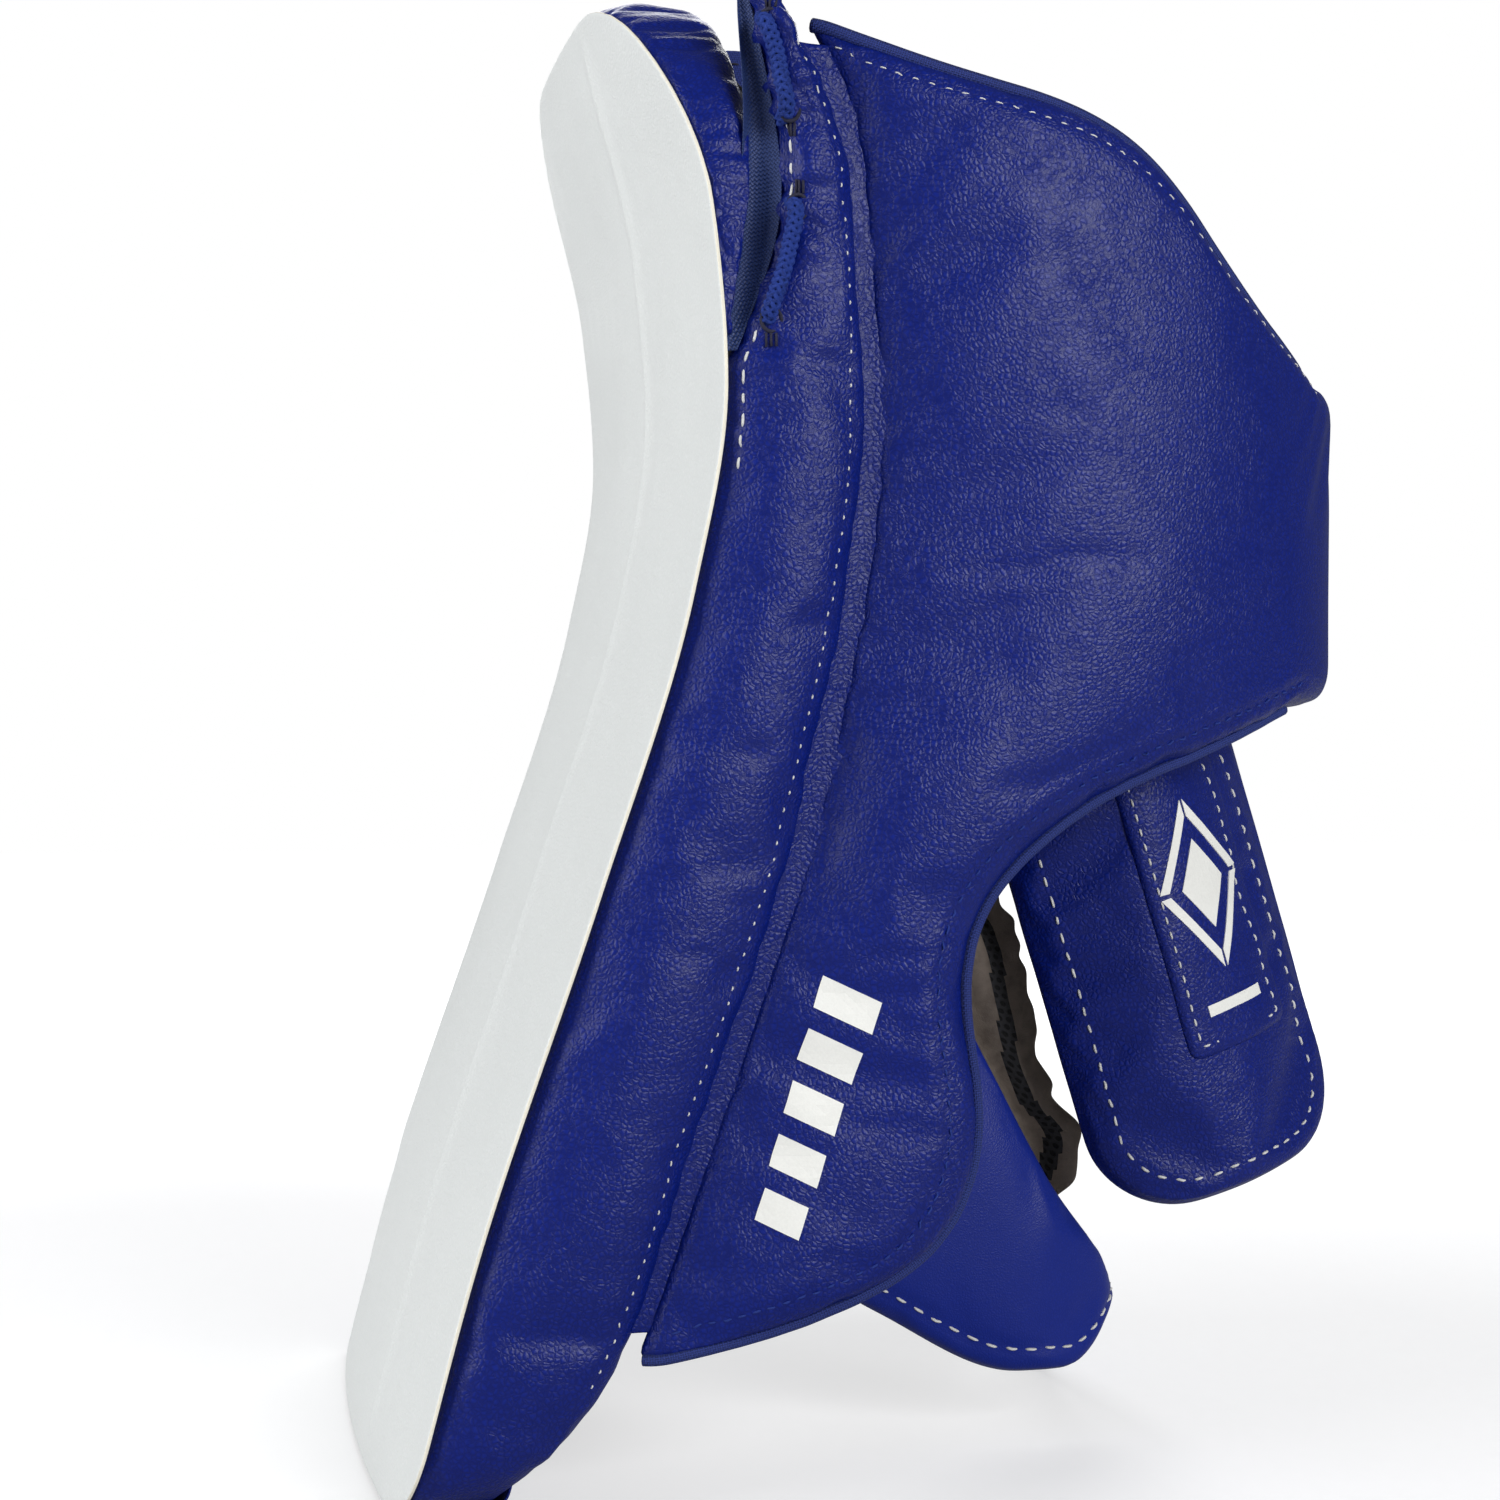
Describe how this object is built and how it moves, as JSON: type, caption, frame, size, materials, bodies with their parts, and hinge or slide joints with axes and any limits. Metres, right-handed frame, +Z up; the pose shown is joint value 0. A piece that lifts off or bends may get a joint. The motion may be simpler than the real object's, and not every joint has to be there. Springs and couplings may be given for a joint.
{
  "type": "goalkeeper blocker",
  "caption": "Ice-hockey goalkeeper's blocker: curved padded board with side rolls, wrist-wrapping side shield, thumb flap, finger guard and a glove behind the board.",
  "frame": {"origin": "the middle of the board's flat finger end, on the surface it stands on, at the face foam", "axes": "+X from the face towards the palm, +Y across the board away from the thumb, +Z up towards the cuff"},
  "size_m": [0.2638, 0.2185, 0.3757],
  "materials": {
    "white_leather": "satin",
    "blue_leather": "satin",
    "foam": "matte",
    "stiffener": "matte",
    "lining_knit": "matte",
    "backing_knit": "matte",
    "twill": "matte",
    "navy_nylon": "satin",
    "lace_braid": "matte",
    "suede": "matte",
    "binding": "matte",
    "hook_loop": "matte",
    "webbing": "matte",
    "thread": "satin",
    "emblem_print": "satin",
    "mesh": "matte"
  },
  "bodies": {
    "board": {"face_cover": "white_leather", "face_foam": "foam", "stiffener_plate": "stiffener", "back_foam": "foam", "board_lining": "lining_knit", "edge_band": "blue_leather", "side_roll_cover_near": "blue_leather", "side_roll_cover_far": "blue_leather", "side_roll_foam_near": "foam", "side_roll_foam_far": "foam", "gusset_near": "navy_nylon", "gusset_far": "navy_nylon", "lace_near": "lace_braid", "lace_far": "lace_braid", "hand_back_pad": "backing_knit", "palm_panel": "suede", "cuff_binding": "binding", "strap_loop_patch": "hook_loop", "thumb_web": "suede"},
    "side_shield": {"shield_cover": "blue_leather", "shield_foam": "foam", "shield_plate": "stiffener", "shield_liner": "lining_knit"},
    "thumb": {"thumb_cover": "blue_leather", "thumb_foam": "foam", "thumb_plate": "stiffener", "thumb_liner": "lining_knit", "thumb_patch": "blue_leather", "thumb_stall": "suede"},
    "fingers": {"index_stall": "suede", "middle_stall": "suede", "ring_stall": "suede", "little_stall": "suede", "finger_guard_cover": "blue_leather", "finger_guard_foam": "foam", "finger_guard_liner": "twill"},
    "strap": {"wrist_strap": "webbing", "strap_hook_pad": "hook_loop"}
  },
  "joints": [
    {"name": "shield_flex", "type": "hinge", "parent": "board", "child": "side_shield", "pos_m": [0.0625, -0.104, 0.05], "axis": [-0.134, 0, -0.991], "range_deg": [-4, 8], "stiffness_Nm_per_rad": 6},
    {"name": "thumb_flex", "type": "hinge", "parent": "board", "child": "thumb", "pos_m": [0.1845, -0.06, 0.2115], "axis": [0, 1, 0], "range_deg": [-12, 10], "stiffness_Nm_per_rad": 1.5},
    {"name": "finger_flex", "type": "hinge", "parent": "board", "child": "fingers", "pos_m": [0.132, 0, 0.15], "axis": [0, 1, 0], "range_deg": [-12, 15], "stiffness_Nm_per_rad": 12},
    {"name": "strap_open", "type": "hinge", "parent": "board", "child": "strap", "pos_m": [0.119, 0.0502, 0.249], "axis": [0, 0, 1], "range_deg": [0, 80]}
  ]
}
